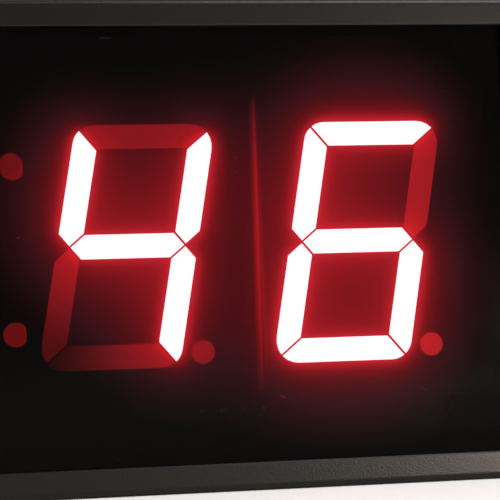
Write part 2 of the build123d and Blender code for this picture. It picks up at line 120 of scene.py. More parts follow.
def new_piece(name: str, points: np.ndarray, faces: Faces, smooth: bool = False) -> Piece:
    """Make a mesh piece whose place is in its mesh, with its faces outwards.

    The space that it encloses is a sixth of the sum, over the triangles of all faces, of a . (b x c)
    for their corners a, b and c. Where that is negative, the faces point inwards and are turned.

    Args:
        name: The piece's name.
        points: Vertices as an array of shape (count, 3), in metres.
        faces: The corners of each face, all anticlockwise or all clockwise seen from outside.
        smooth: Whether it is shaded smooth, apart from edges sharper than 35 degrees.

    Returns:
        The new object, at the origin.
    """
    fans = [(face[0], b, c) for face in faces for b, c in zip(face[1:-1], face[2:])]
    a, b, c = points[np.array(fans)].transpose(1, 0, 2)
    if np.einsum("ij,ij->", a, np.cross(b, c)) < 0:
        faces = [face[::-1] for face in faces]
    mesh = bpy.data.meshes.new(name)
    mesh.from_pydata(points.tolist(), [], faces)
    mesh.polygons.foreach_set("use_smooth", np.full(len(mesh.polygons), smooth))
    if smooth:
        mesh.set_sharp_from_angle(angle=math.radians(35))
    mesh.update()
    piece = bpy.data.objects.new(name, mesh)
    bpy.context.scene.collection.objects.link(piece)
    return piece


def join_frame(piece: Piece, material: bpy.types.Material, replaced: str = "") -> None:
    """Dress a new piece, hide the CAD node that it replaces, hang it on the root body, and report
    it.

    Args:
        piece: The piece.
        material: Its material.
        replaced: The CAD node that the piece replaces, if there is one.
    """
    piece.data.materials.append(material)
    if replaced:
        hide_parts(replaced)
    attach(piece, "root")
    log.info("%s built with %d faces", piece.name, len(piece.data.polygons))


def mesh_points(piece: Piece) -> np.ndarray:
    """Points of a piece's mesh.

    Args:
        piece: The piece, or a CAD node's object.

    Returns:
        The points in metres, as an array of shape (count, 3).
    """
    points = np.empty(len(piece.data.vertices) * 3, np.float32)
    piece.data.vertices.foreach_get("co", points)
    return points.reshape(-1, 3).astype(float)


def grid_faces(rows: int, columns: int, wrapped: bool = False, closed: bool = False) -> Faces:
    """Corners of the faces between neighbouring points of a grid that is numbered row by row.

    Args:
        rows: How many rows of points there are.
        columns: How many points a row has.
        wrapped: Whether the last row joins the first.
        closed: Whether the last point of each row joins its first.

    Returns:
        Four point numbers for each face.
    """
    row, column = np.meshgrid(
        np.arange(rows if wrapped else rows - 1),
        np.arange(columns if closed else columns - 1),
        indexing="ij",
    )
    next_row, next_column = (row + 1) % rows, (column + 1) % columns
    corners = [(row, column), (row, next_column), (next_row, next_column), (next_row, column)]
    numbers = np.stack([(r * columns + c).ravel() for r, c in corners], axis=1)
    return [tuple(face) for face in numbers.tolist()]


def ringed(rings: np.ndarray, capped: bool) -> tuple[np.ndarray, Faces]:
    """Points and faces of a surface made of closed rings, one after another.

    Args:
        rings: Points of the rings, as an array of shape (rings, sides, 3).
        capped: Whether a flat face closes each end. If not, the last ring joins the first.

    Returns:
        Points of shape (count, 3), and faces.
    """
    count, sides, _ = rings.shape
    faces = grid_faces(count, sides, not capped, True)
    if capped:
        faces.append(tuple(range(sides))[::-1])
        faces.append(tuple(range((count - 1) * sides, count * sides)))
    return rings.reshape(-1, 3), faces


def four_fasteners(
    name: str, radii: np.ndarray, depths: np.ndarray, turn: np.ndarray, capped: bool,
    half: tuple[float, float],
) -> Piece:
    """Make four fasteners in the back, as one piece.

    From its place, a point of a fastener is at x = r cos(t), y = depth and z = r sin(t).

    Args:
        name: The piece's name.
        radii: The radius r of each point, in mm, of shape (rings, sides).
        depths: Y of each ring, in mm.
        turn: The angle t of each point of a ring.
        capped: Whether a flat face closes each end.
        half: Half the distance between the places, across and up, in mm.

    Returns:
        The new object.
    """
    ys = np.broadcast_to(depths[:, None], radii.shape)
    rings = np.stack([radii * np.cos(turn), ys, radii * np.sin(turn)], axis=-1) * MM
    points, faces = ringed(rings, capped)
    middle = (CAD_BOUNDS[0].z + CAD_BOUNDS[1].z) / 2
    across, up = (distance * MM for distance in half)
    places = np.array([(x, 0, middle + z) for x in (-across, across) for z in (-up, up)])
    everything = (places[:, None, :] + points[None, :, :]).reshape(-1, 3)
    steps = range(0, len(everything), len(points))
    faces = [tuple(i + step for i in face) for step in steps for face in faces]
    return new_piece(name, everything, faces, smooth=True)


class Grain(Enum):
    """How a surface was made, which settles its fine pattern.

    What is too fine to show is drawn coarser. Plating and a lathe's cuts are drawn 0.15 to 0.3 mm
    wide, and the case's spark-eroded grain twice as wide as the usual quarter of a millimetre.
    """

    ERODED = "spark-eroded mould"
    POLISHED = "polished mould or glaze"
    WOVEN = "woven glass cloth under resin"
    TURNED = "cut on a lathe"
    PLATED = "plated or dipped metal"
    CAST = "cast resin"


class Segment(Enum):
    """The seven bars of a digit, by their usual letters."""

    TOP = "a"
    UPPER_RIGHT = "b"
    LOWER_RIGHT = "c"
    BOTTOM = "d"
    LOWER_LEFT = "e"
    UPPER_LEFT = "f"
    MIDDLE = "g"


class Figure(Enum):
    """A figure that a digit shows, by the letters of its lit segments."""

    FOUR = "bcfg"
    SIX = "acdefg"


@dataclass(frozen=True)
class Finish:
    """A surface: its colour, how it was made and how it shines.

    The IOR stays at the default of 1.5, which is close to that of ABS, acrylic and epoxy.

    Attributes:
        name: The material's name.
        colour: Main colour, sRGB hex.
        patch_colour: Colour of its faint patches, sRGB hex.
        grain: How the surface was made.
        grain_size: Width of one grain, thread or cut, in mm.
        grain_depth: Depth of the grain, in mm.
        roughness: Mean roughness.
        roughness_swing: How far the grain moves the roughness, up and down.
        metallic: 1 for bare metal.
        specular: Specular level, 0.5 for a plain plastic.
        coat: Weight of a clear coat.
    """

    name: str
    colour: str
    patch_colour: str
    grain: Grain
    grain_size: float
    grain_depth: float
    roughness: float
    roughness_swing: float = 0.06
    metallic: float = 0.0
    specular: float = 0.5
    coat: float = 0.0

    def pattern(self, tree: Tree, place: Feed) -> Feed:
        """Height of the fine pattern, from 0 to 1.

        Woven cloth is the higher of two waves that cross, and all else is noise. A lathe's cuts are
        noise that is stretched along X and Z.

        Args:
            tree: The material's node tree.
            place: Object coordinates.

        Returns:
            What gives the height.
        """
        scale = 1 / (self.grain_size * MM)
        if self.grain is Grain.WOVEN:
            wave = {"Vector": place, "Scale": scale / 2, "Distortion": 0.3, "Detail": 1.0}
            across, up = (
                add_node(tree, "ShaderNodeTexWave", wave, bands_direction=axis).outputs["Fac"]
                for axis in ("X", "Z")
            )
            return add_node(tree, "ShaderNodeMath", {0: across, 1: up}, operation="MAXIMUM")
        if self.grain is Grain.TURNED:
            stretch = {"Vector": place, "Scale": (0.06, 1.0, 0.06)}
            place = add_node(tree, "ShaderNodeMapping", stretch)
        detail = {Grain.ERODED: 2.0, Grain.PLATED: 3.0}.get(self.grain, 1.5)
        noise = {"Vector": place, "Scale": scale, "Detail": detail, "Roughness": 0.6}
        return add_node(tree, "ShaderNodeTexNoise", noise)

    def material(self) -> bpy.types.Material:
        """Build the material.

        Returns:
            The new material.
        """
        material = bpy.data.materials.new(self.name)
        material.use_nodes = True
        tree = material.node_tree
        tree.nodes.clear()
        place = add_node(tree, "ShaderNodeTexCoord").outputs["Object"]
        height = self.pattern(tree, place)
        low, high = self.roughness - self.roughness_swing, self.roughness + self.roughness_swing
        sheen = {"Value": height, "To Min": low, "To Max": high}
        bump = {"Height": height, "Distance": self.grain_depth * MM, "Strength": 1.0}
        inputs = {
            "Base Color": self.colour_of(tree, place),
            "Roughness": add_node(tree, "ShaderNodeMapRange", sheen),
            "Normal": add_node(tree, "ShaderNodeBump", bump),
            "Metallic": self.metallic,
            "Specular IOR Level": self.specular,
            "Coat Weight": self.coat,
            **self.light_of(tree, place),
        }
        shader = add_node(tree, "ShaderNodeBsdfPrincipled", inputs)
        add_node(tree, "ShaderNodeOutputMaterial", {"Surface": shader})
        return material

    def colour_of(self, tree: Tree, place: Feed) -> Feed:
        """The colour, with soft patches about forty grains wide.

        Args:
            tree: The material's node tree.
            place: Object coordinates.

        Returns:
            What gives the colour.
        """
        scale = 1 / (40 * self.grain_size * MM)
        noise = {"Vector": place, "Scale": scale, "Detail": 3.0}
        patches = add_node(tree, "ShaderNodeTexNoise", noise)
        colours = {"Factor": patches, 6: linear(self.colour), 7: linear(self.patch_colour)}
        return add_node(tree, "ShaderNodeMix", colours, data_type="RGBA")

    def light_of(self, tree: Tree, place: Feed) -> Inputs:
        """What the shader takes for light of its own. A plain finish has none."""
        return {}


@dataclass(frozen=True)
class EdgeHighlightPlastic(Finish):
    """Moulded plastic with a painted highlight along the top and side edges of the window opening.

    Attributes:
        highlight_colour: Colour of the painted highlight on the edge, sRGB hex.
        half_width: Half the opening's width, in metres.
        half_height: Half its height, in metres.
        middle: Its middle, in metres along Z.
        front: The plastic's front face, in metres along Y.
        highlight_width: Width of the painted highlight on the edge, in mm.
        least: How bright the painted highlight is at the left edge, for 1 at the right edge.
        patch: Width of a patch in which the painted highlight is brighter or weaker, in mm.
    """

    # Pale colour of the painted highlight along the opening's edge.
    highlight_colour: str = "#57504a"
    half_width: float = 1.0
    half_height: float = 1.0
    middle: float = 0.0
    front: float = 0.0
    highlight_width: float = 0.4
    least: float = 0.05
    patch: float = 11.11

    def colour_of(self, tree: Tree, place: Feed) -> Feed:
        """The moulded colour, and a painted highlight within a short, uneven way of the opening's
        edge.

        The way from the opening is the greater of abs(x) - half width and abs(z - middle) - half
        height, and the way behind the front face is added to it. The painted highlight is brightest
        at the top right, as if light came from the right, and absent at the bottom.

        Args:
            tree: The material's node tree.
            place: Object coordinates.

        Returns:
            What gives the colour.
        """
        plain = super().colour_of(tree, place)
        middle = (0.0, self.front, self.middle)
        moved = add_node(tree, "ShaderNodeVectorMath", {0: place, 1: middle}, operation="SUBTRACT")
        x, behind, z = add_node(tree, "ShaderNodeSeparateXYZ", {"Vector": moved}).outputs
        # Painted highlight: a paler colour near the edge, growing from left to right and from bottom
        # to top, as if light came from the right.
        ways, shares = [], []
        for side, half, least in ((x, self.half_width, self.least), (z, self.half_height, 0.0)):
            out = add_node(tree, "ShaderNodeMath", {0: side}, operation="ABSOLUTE")
            ways.append(add_node(tree, "ShaderNodeMath", {0: out, 1: half}, operation="SUBTRACT"))
            ramp = {"Value": side, "From Min": -half, "From Max": half, "To Min": least}
            shares.append(add_node(tree, "ShaderNodeMapRange", ramp))
        way = add_node(tree, "ShaderNodeMath", {0: ways[0], 1: ways[1]}, operation="MAXIMUM")
        total = add_node(tree, "ShaderNodeMath", {0: way, 1: behind}, operation="ADD")
        ramp = {"Value": total, "From Max": self.highlight_width * MM, "To Min": 1.0, "To Max": 0.0}
        painted_highlight = add_node(tree, "ShaderNodeMapRange", ramp)
        noise = {"Vector": place, "Scale": 1 / (self.patch * MM), "Detail": 4.0}
        for share in (add_node(tree, "ShaderNodeTexNoise", noise), *shares):
            painted_highlight = add_node(tree, "ShaderNodeMath", {0: painted_highlight, 1: share}, operation="MULTIPLY")
        # Mix the painted highlight into the moulded colour.
        colours = {"Factor": painted_highlight, 6: plain, 7: linear(self.highlight_colour)}
        return add_node(tree, "ShaderNodeMix", colours, data_type="RGBA")


@dataclass(frozen=True)
class LitEpoxy(Finish):
    """Diffusing epoxy with its dice on: too bright for a camera, so it is white with a pink tinge.

    Attributes:
        light: Colour of its light, sRGB hex.
        seen: How bright it is through the window.
    """

    light: str = "#ffc4c8"
    seen: float = 1.85

    def light_of(self, tree: Tree, place: Feed) -> Inputs:
        """The whole lens shines evenly."""
        return {"Emission Color": linear(self.light), "Emission Strength": self.seen / WINDOW_PASS}


@dataclass(frozen=True)
class DimEpoxy(Finish):
    """Diffusing epoxy with its dice off, which glows dull red with light from its neighbours.

    Attributes:
        light: Colour of its light, sRGB hex.
        axis: The axis that the light changes along, 0 for X and 2 for Z.
        low: Where the change starts, in metres.
        high: Where the change ends, in metres.
        low_seen: How bright it is through the window, at and before the start.
        high_seen: How bright it is through the window from the end on.
    """

    light: str = "#ff2327"
    axis: int = 2
    low: float = 0.0
    high: float = 1.0
    low_seen: float = 1.0
    high_seen: float = 1.0

    def light_of(self, tree: Tree, place: Feed) -> Inputs:
        """The lens shines more towards its brighter end.

        Args:
            tree: The material's node tree.
            place: Object coordinates.

        Returns:
            The shader's inputs.
        """
        parts = add_node(tree, "ShaderNodeSeparateXYZ", {"Vector": place})
        ramp = {
            "Value": parts.outputs[self.axis],
            "From Min": self.low,
            "From Max": self.high,
            "To Min": self.low_seen / WINDOW_PASS,
            "To Max": self.high_seen / WINDOW_PASS,
        }
        along = add_node(tree, "ShaderNodeMapRange", ramp, interpolation_type="SMOOTHSTEP")
        return {"Emission Color": linear(self.light), "Emission Strength": along}


@dataclass(frozen=True)
class ModulePlastic(Finish):
    """Dark translucent plastic of a digit's housing. Its side walls let some red light through.

    Attributes:
        light: Colour of the light in the walls, sRGB hex.
        seen: How bright a wall is through the window, at its front edge and half way up.
        front: The housing's front face, in metres along Y.
        back: Its back, in metres along Y.
        middle: Half way up the housing, in metres along Z.
        reach: How far up and down from there the wall glows, in metres.
        fall: Power with which the glow falls towards the back.
    """

    light: str = "#ff2020"
    seen: float = 0.29
    front: float = 0.0
    back: float = 1.0
    middle: float = 0.0
    reach: float = 1.0
    fall: float = 1.1

    def light_of(self, tree: Tree, place: Feed) -> Inputs:
        """The side walls glow, fading with depth and as a parabola up and down.

        A face is a side wall if its normal is within 0.001 of the X axis.

        Args:
            tree: The material's node tree.
            place: Object coordinates.

        Returns:
            The shader's inputs.
        """
        _, y, z = add_node(tree, "ShaderNodeSeparateXYZ", {"Vector": place}).outputs
        normal = add_node(tree, "ShaderNodeNewGeometry").outputs["True Normal"]
        facing = add_node(tree, "ShaderNodeSeparateXYZ", {"Vector": normal}).outputs["X"]
        sideways = add_node(tree, "ShaderNodeMath", {0: facing}, operation="ABSOLUTE")
        wall = add_node(tree, "ShaderNodeMath", {0: sideways, 1: 0.999}, operation="GREATER_THAN")
        ends = {"From Min": self.front, "From Max": self.back, "To Min": 1.0, "To Max": 0.0}
        depth = add_node(tree, "ShaderNodeMapRange", {"Value": y, **ends})
        fade = add_node(tree, "ShaderNodeMath", {0: depth, 1: self.fall}, operation="POWER")
        bottom, top = self.middle - self.reach, self.middle + self.reach
        ramp = {"Value": z, "From Min": bottom, "From Max": top, "To Min": -1.0}
        away = add_node(tree, "ShaderNodeMapRange", ramp)
        square = add_node(tree, "ShaderNodeMath", {0: away, 1: away}, operation="MULTIPLY")
        bow = {0: 1.0, 1: square}
        power = add_node(tree, "ShaderNodeMath", bow, operation="SUBTRACT", use_clamp=True)
        for share in (fade, wall, self.seen / WINDOW_PASS):
            power = add_node(tree, "ShaderNodeMath", {0: power, 1: share}, operation="MULTIPLY")
        return {"Emission Color": linear(self.light), "Emission Strength": power}


@dataclass(frozen=True)
class GlowingFinish(Finish):
    """A surface that shows the light kept with its mesh, as the attribute "glow".

    Attributes:
        strength: How bright it is for that light.
        cover: How much of what lies behind one of its faces that face hides.
    """

    strength: float = 1.0
    cover: float = 1.0

    def light_of(self, tree: Tree, place: Feed) -> Inputs:
        """The kept light, and the share of what lies behind that the surface hides."""
        glow = add_node(tree, "ShaderNodeAttribute", attribute_name="glow")
        return {"Emission Color": glow, "Emission Strength": self.strength, "Alpha": self.cover}


@dataclass(frozen=True)
class Spread:
    """One part of the light that spreads round the lit segments.

    Attributes:
        reach: Distance in which it falls to 1/e, in mm.
        digit: Its weight inside a digit's outline.
        face: Its weight on the rest of a module's face.
        beyond: Its weight outside the modules.
    """

    reach: float
    digit: float
    face: float
    beyond: float


@dataclass
class GlowField:
    """Red light that spreads in the window, worked out on a fine square grid in the window's plane.

    Attributes:
        low: Lowest X and Z of the grid, in metres.
        high: Highest X and Z of the grid, in metres.
        step: Distance between grid points, in mm.
        spreads: The parts that the light is made of.
        soft: Distance over which one kind of place goes over into the next, in mm.
        ceiling: The red that it comes near to but doesn't pass, so that thin gaps stay red.
        least: Light weaker than this is lost in the smoked sheet.
        seam: Strength beside a shining wall, and distance in which it falls to 1/e, in mm.
        left_veil: The same for the weak light that goes on to the left of the wall.
        right_veil: The same for the weak light over the face to its right.
        askew: How far the wall leans to the left for each metre up.
        weak: Below this red, green and blue fade to nothing.
        green: Green in weak light, and for each unit of red squared.
        blue: Blue in weak light, and for each unit of red squared.
        xs: X of the grid's columns, in metres.
        zs: Z of its rows, in metres.
    """

    low: tuple[float, float]
    high: tuple[float, float]
    step: float = 0.15
    spreads: tuple[Spread, ...] = (
        Spread(reach=0.7, digit=0.95, face=0.82, beyond=0.0),
        Spread(reach=1.4, digit=0.0, face=0.50, beyond=0.0),
        Spread(reach=5.7, digit=1.0, face=0.56, beyond=0.54),
    )
    soft: float = 0.3
    ceiling: float = 0.55
    least: float = 0.005
    seam: tuple[float, float] = (0.17, 0.3)
    left_veil: tuple[float, float] = (0.05, 3.0)
    right_veil: tuple[float, float] = (0.055, 12.0)
    askew: float = 0.015
    weak: float = 0.03
    green: tuple[float, float] = (0.0026, 0.045)
    blue: tuple[float, float] = (0.005, 0.08)
    xs: np.ndarray = field(init=False)
    zs: np.ndarray = field(init=False)

    def __post_init__(self) -> None:
        """Lay out the grid."""
        step = self.step * MM
        self.xs, self.zs = (np.arange(a, b + step, step) for a, b in zip(self.low, self.high))

    def inside(self, outline: np.ndarray) -> np.ndarray:
        """Which grid points lie inside an outline: those on the left of every edge.

        Args:
            outline: X and Z of each corner of a convex outline, anticlockwise.

        Returns:
            True or False for each grid point.
        """
        x, z = np.meshgrid(self.xs, self.zs)
        found = np.ones(x.shape, bool)
        for (ax, az), (bx, bz) in zip(outline, np.roll(outline, -1, axis=0)):
            found &= (bx - ax) * (z - az) - (bz - az) * (x - ax) >= 0
        return found

    def blurred(self, source: np.ndarray, reach: float) -> np.ndarray:
        """Spread a source with weights that fall as exp(-distance / reach) and add up to one.

        Args:
            source: Values on the grid.
            reach: Distance in which the weight falls to 1/e, in mm.

        Returns:
            The spread values on the grid, by a Fourier transform with a margin of empty points.
        """
        rows, columns = (2 * n for n in source.shape)
        row = np.minimum(np.arange(rows), rows - np.arange(rows))[:, None]
        column = np.minimum(np.arange(columns), columns - np.arange(columns))[None, :]
        weights = np.exp(-np.hypot(row, column) * self.step / reach)
        waves = np.fft.rfft2(source, (rows, columns)) * np.fft.rfft2(weights / weights.sum())
        return np.fft.irfft2(waves, (rows, columns))[: source.shape[0], : source.shape[1]]

    def red(self, lit: Outlines, digits: Outlines, faces: Outlines) -> np.ndarray:
        """Red light at every grid point.

        Args:
            lit: Outlines of the lit segments.
            digits: Outlines round each digit.
            faces: Outlines of the modules' faces.

        Returns:
            The sum t of all spreads, each weighted by the kind of place, less the least light, and
            held below the ceiling c as t / (1 + (t / c) ** 4) ** (1 / 4).
        """
        in_lit, in_digit, on_face = (
            np.any([self.inside(outline) for outline in outlines], axis=0)
            for outlines in (lit, digits, faces)
        )
        source = in_lit.astype(float)
        total = np.zeros_like(source)
        for part in self.spreads:
            weight = np.where(in_digit, part.digit, np.where(on_face, part.face, part.beyond))
            total += self.blurred(weight, self.soft) * self.blurred(source, part.reach)
        total = np.maximum(total - self.least, 0)
        return total / (1 + (total / self.ceiling) ** 4) ** 0.25

    def beside(self, wall: float, low: float, high: float) -> np.ndarray:
        """Red light that a shining wall adds, at every grid point.

        It falls as exp(-distance / reach): for the seam to both sides, for each veil to its own. Up
        and down the seam falls as a parabola, and the veils as its square.

        Args:
            wall: X of the wall, in metres.
            low: Its lowest Z, in metres.
            high: Its highest Z, in metres.

        Returns:
            The light on the grid.
        """
        x, z = np.meshgrid(self.xs, self.zs)
        away = (x - wall + self.askew * (z - (low + high) / 2)) / MM
        bow = np.clip(1 - ((2 * z - low - high) / (high - low)) ** 2, 0, 1)
        seam, left, right = (
            strength * np.exp(-np.abs(away) / reach)
            for strength, reach in (self.seam, self.left_veil, self.right_veil)
        )
        return bow * seam + bow**2 * np.where(away > 0, right, left)

    def tinted(self, red: np.ndarray) -> np.ndarray:
        """Red with green and blue, each a * min(1, r / weak) + b * r * r for its own a and b.

        Args:
            red: The red r of each point.

        Returns:
            Red, green and blue of each point, along a last axis.
        """
        share = np.minimum(1, red / self.weak)
        others = [a * share + b * red**2 for a, b in (self.green, self.blue)]
        return np.stack([red, *others], axis=-1)

    def at(self, values: np.ndarray, x: np.ndarray, z: np.ndarray) -> np.ndarray:
        """Values between the grid points, in proportion to the four around each place.

        Args:
            values: Values on the grid.
            x: X of each place, in metres.
            z: Z of each place, in metres.

        Returns:
            The value at each place. One past the grid's end counts as just inside it.
        """
        just = 1e-3
        across = np.clip((x - self.xs[0]) / (self.step * MM), 0, len(self.xs) - 1 - just)
        up = np.clip((z - self.zs[0]) / (self.step * MM), 0, len(self.zs) - 1 - just)
        i, j = across.astype(int), up.astype(int)
        u, v = across - i, up - j
        lower = values[j, i] * (1 - u) + values[j, i + 1] * u
        upper = values[j + 1, i] * (1 - u) + values[j + 1, i + 1] * u
        return lower * (1 - v) + upper * v


@dataclass
class FinishBox:
    """The display's plain finishes, and the materials made from them.

    Attributes:
        finishes: The finishes.
        made: The material of each finish that has been asked for.
    """

    finishes: tuple[Finish, ...] = (
        # Moulded ABS with a spark-eroded grain: matt and nearly black.
        Finish("housing_abs", "#141210", "#110f0e", Grain.ERODED, 0.45, 0.02, 0.48, specular=0.25),
        # Zinc plated steel: bright and slightly blue, with soft stains.
        Finish("zinc_steel", "#b9bcc0", "#a4a8ae", Grain.PLATED, 0.3, 0.004, 0.32, metallic=1.0),
        # Steel with a black oxide: dark blue-grey metal that only shines softly.
        Finish("black_steel", "#1b1b1d", "#151517", Grain.PLATED, 0.3, 0.003, 0.45, metallic=1.0),
        # Turned brass: yellow metal with fine cuts round it.
        Finish("insert_brass", "#c9a04e", "#b8893a", Grain.TURNED, 0.15, 0.006, 0.28, metallic=1.0),
        # Diffusing epoxy, lit: pale pink, and lost in its own light.
        LitEpoxy("lit_epoxy", "#f2d0d2", "#f0c8ca", Grain.CAST, 0.6, 0.004, 0.35),
        # Semiconductor: dark red and glassy.
        Finish("led_die", "#7a2a20", "#6a241c", Grain.POLISHED, 0.1, 0.001, 0.2),
        # Glass epoxy laminate: the cloth shows as a fine weave under pale resin.
        Finish("digit_laminate", "#b7a978", "#a89a68", Grain.WOVEN, 0.5, 0.01, 0.45),
        # Cast potting resin: milky, glossy and a little uneven.
        Finish("potting_resin", "#d8d2c4", "#c9c2b2", Grain.CAST, 1.5, 0.05, 0.25, coat=0.3),
        # Tin plating: soft grey metal.
        Finish("tinned_metal", "#c4c4c0", "#aeaea8", Grain.PLATED, 0.2, 0.004, 0.3, metallic=1.0),
        # Moulded nylon: natural colour and waxy.
        Finish("spacer_nylon", "#d6d0c2", "#cac3b4", Grain.ERODED, 0.3, 0.006, 0.5),
        # Black solder resist over glass cloth: satin, and the weave just shows.
        Finish("board_laminate", "#0d1210", "#101a16", Grain.WOVEN, 0.5, 0.008, 0.4),
        # Transfer-moulded epoxy of chips: matt charcoal.
        Finish("chip_epoxy", "#1d1d1e", "#191919", Grain.ERODED, 0.15, 0.008, 0.65),
        # Glazed resistor: black glass on ceramic.
        Finish("resistor_ceramic", "#17171a", "#1d1d20", Grain.POLISHED, 0.4, 0.004, 0.25),
        # Drawn nickel-silver can: pale grey metal, smoother than plating.
        Finish("can_metal", "#b4b4b2", "#a6a6a2", Grain.PLATED, 0.25, 0.003, 0.25, metallic=1.0),
        # Shrunk sleeve: dark blue film with a soft gloss.
        Finish("capacitor_sleeve", "#141a2c", "#101524", Grain.POLISHED, 0.8, 0.01, 0.3, coat=0.2),
        # Moulded polyamide of the terminal block: green, with a fine grain.
        Finish("terminal_plastic", "#2f7a3c", "#296c35", Grain.ERODED, 0.3, 0.01, 0.48),
    )
    made: dict[str, bpy.types.Material] = field(default_factory=dict)

    def get(self, name: str) -> bpy.types.Material:
        """The material of a plain finish, made when it is first asked for.

        Args:
            name: The finish's name.

        Returns:
            The material.
        """
        if name not in self.made:
            self.made[name] = next(f for f in self.finishes if f.name == name).material()
        return self.made[name]

    def put(self, node: str, finish: str | Finish) -> None:
        """Give a CAD node a finish in all its slots, and report it.

        Args:
            node: The node's name.
            finish: A plain finish's name, or a finish made for this node alone.
        """
        material = finish.material() if isinstance(finish, Finish) else self.get(finish)
        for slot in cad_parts[node].material_slots:
            slot.material = material
        log.info("%s dressed as %s", node, material.name)


FINISHES = FinishBox()


@dataclass(frozen=True)
class DigitModule:
    """One digit module.

    Attributes:
        side: "left" or "right", as its nodes' names begin.
        figure: The figure that it shows.
        dim: For each dark segment, its light at its low and high end, as seen through the window.
        point_light: The decimal point's light, as seen through the window.
    """

    side: str
    figure: Figure
    dim: Mapping[Segment, tuple[float, float]]
    point_light: float

    def node(self, part: str) -> str:
        """Name of one of the module's nodes."""
        return f"{self.side}_{part}"

    def lit_outlines(self) -> Outlines:
        """Front outline of each lit segment, from its CAD node.

        An outline is convex, so its corners in order are the points of the front face, the only ones
        within a hundredth of a millimetre of the front, sorted by their angle about their middle.

        Returns:
            For each outline, X and Z of each corner in metres, as an array of shape (corners, 2).
        """
        outlines = []
        for letter in self.figure.value:
            points = mesh_points(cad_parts[self.node(f"segment_{letter}")])
            front = points[points[:, 1] < points[:, 1].min() + 0.01 * MM][:, [0, 2]]
            corners = np.unique(np.round(front, 6), axis=0)
            offset = corners - corners.mean(axis=0)
            outlines.append(corners[np.argsort(np.arctan2(offset[:, 1], offset[:, 0]))])
        return outlines

    def face_outline(self) -> np.ndarray:
        """Outline of the module's face, anticlockwise from its lower left corner."""
        low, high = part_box(self.node("digit_housing"))
        return np.array([(low.x, low.z), (high.x, low.z), (high.x, high.z), (low.x, high.z)])

    def digit_outline(self) -> np.ndarray:
        """Slanted outline round the digit.

        Returns:
            X and Z of its corners in metres, anticlockwise from the lower left one.
        """
        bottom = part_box(self.node("segment_d"))[0].z
        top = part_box(self.node("segment_a"))[1].z
        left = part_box(self.node("segment_f"))[0].x
        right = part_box(self.node("segment_b"))[1].x
        lean = SLANT * (top - bottom)
        low_left, high_left = (left - lean / 2, bottom), (left + lean / 2, top)
        return np.array([low_left, (right - lean, bottom), (right, top), high_left])

    def dress(self) -> None:
        """Give every node of the module its finish."""
        for segment in Segment:
            node = self.node(f"segment_{segment.value}")
            lit = segment.value in self.figure.value
            FINISHES.put(node, "lit_epoxy" if lit else self.dim_epoxy(node, *self.dim[segment]))
        point = self.node("decimal_point")
        FINISHES.put(point, self.dim_epoxy(point, self.point_light, self.point_light))
        FINISHES.put(self.node("digit_housing"), self.housing_plastic())
        for part, finish in (
            ("led_dice", "led_die"),
            ("digit_board", "digit_laminate"),
            ("digit_potting", "potting_resin"),
            ("digit_pins", "tinned_metal"),
        ):
            FINISHES.put(self.node(part), finish)

    def dim_epoxy(self, node: str, low_seen: float, high_seen: float) -> DimEpoxy:
        """Diffusing red epoxy of a dark segment or decimal point: dull red, with a weak glow.

        Args:
            node: The node's name.
            low_seen: Light at its low end, as seen through the window.
            high_seen: Light at its high end, as seen through the window.

        Returns:
            The finish.
        """
        low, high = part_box(node)
        axis = 2 if high.z - low.z > high.x - low.x else 0
        return DimEpoxy(
            f"{node}_epoxy", "#5a1215", "#4c0f12", Grain.CAST, 0.6, 0.004, 0.35,
            axis=axis,
            low=low[axis],
            high=high[axis],
            low_seen=low_seen,
            high_seen=high_seen,
        )

    def housing_plastic(self) -> ModulePlastic:
        """Moulded polycarbonate, matt and dark, with glowing walls that fade just past its ends.

        Returns:
            The finish of the module's housing.
        """
        low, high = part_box(self.node("digit_housing"))
        return ModulePlastic(
            f"{self.side}_module_plastic", "#1c1a1a", "#181616", Grain.ERODED, 0.25, 0.006, 0.6,
            specular=0.3,
            front=low.y,
            back=high.y,
            middle=(low.z + high.z) / 2,
            reach=1.05 * (high.z - low.z) / 2,
        )


DISPLAY = (
    DigitModule(
        "left",
        Figure.FOUR,
        {
            Segment.TOP: (0.17, 0.18),
            Segment.LOWER_LEFT: (0.06, 0.24),
            Segment.BOTTOM: (0.015, 0.21),
        },
        point_light=0.19,
    ),
    DigitModule("right", Figure.SIX, {Segment.UPPER_RIGHT: (0.27, 0.27)}, point_light=0.37),
)


@dataclass
class Colon:
    """The two round LEDs between hours and minutes, both off.

    Attributes:
        seen: Their light, as seen through the window.
    """

    seen: float = 0.12

    def dress(self) -> None:
        """Give the LEDs, their leads and spacers their finishes."""
        for node in ("upper_colon_led", "lower_colon_led"):
            # Cast red epoxy, off: dark and glossy.
            epoxy = DimEpoxy(
                f"{node}_epoxy", "#6a1014", "#5c0d10", Grain.CAST, 0.6, 0.004, 0.25,
                low_seen=self.seen,
                high_seen=self.seen,
            )
            FINISHES.put(node, epoxy)
        FINISHES.put("colon_led_leads", "tinned_metal")
        FINISHES.put("colon_led_spacers", "spacer_nylon")


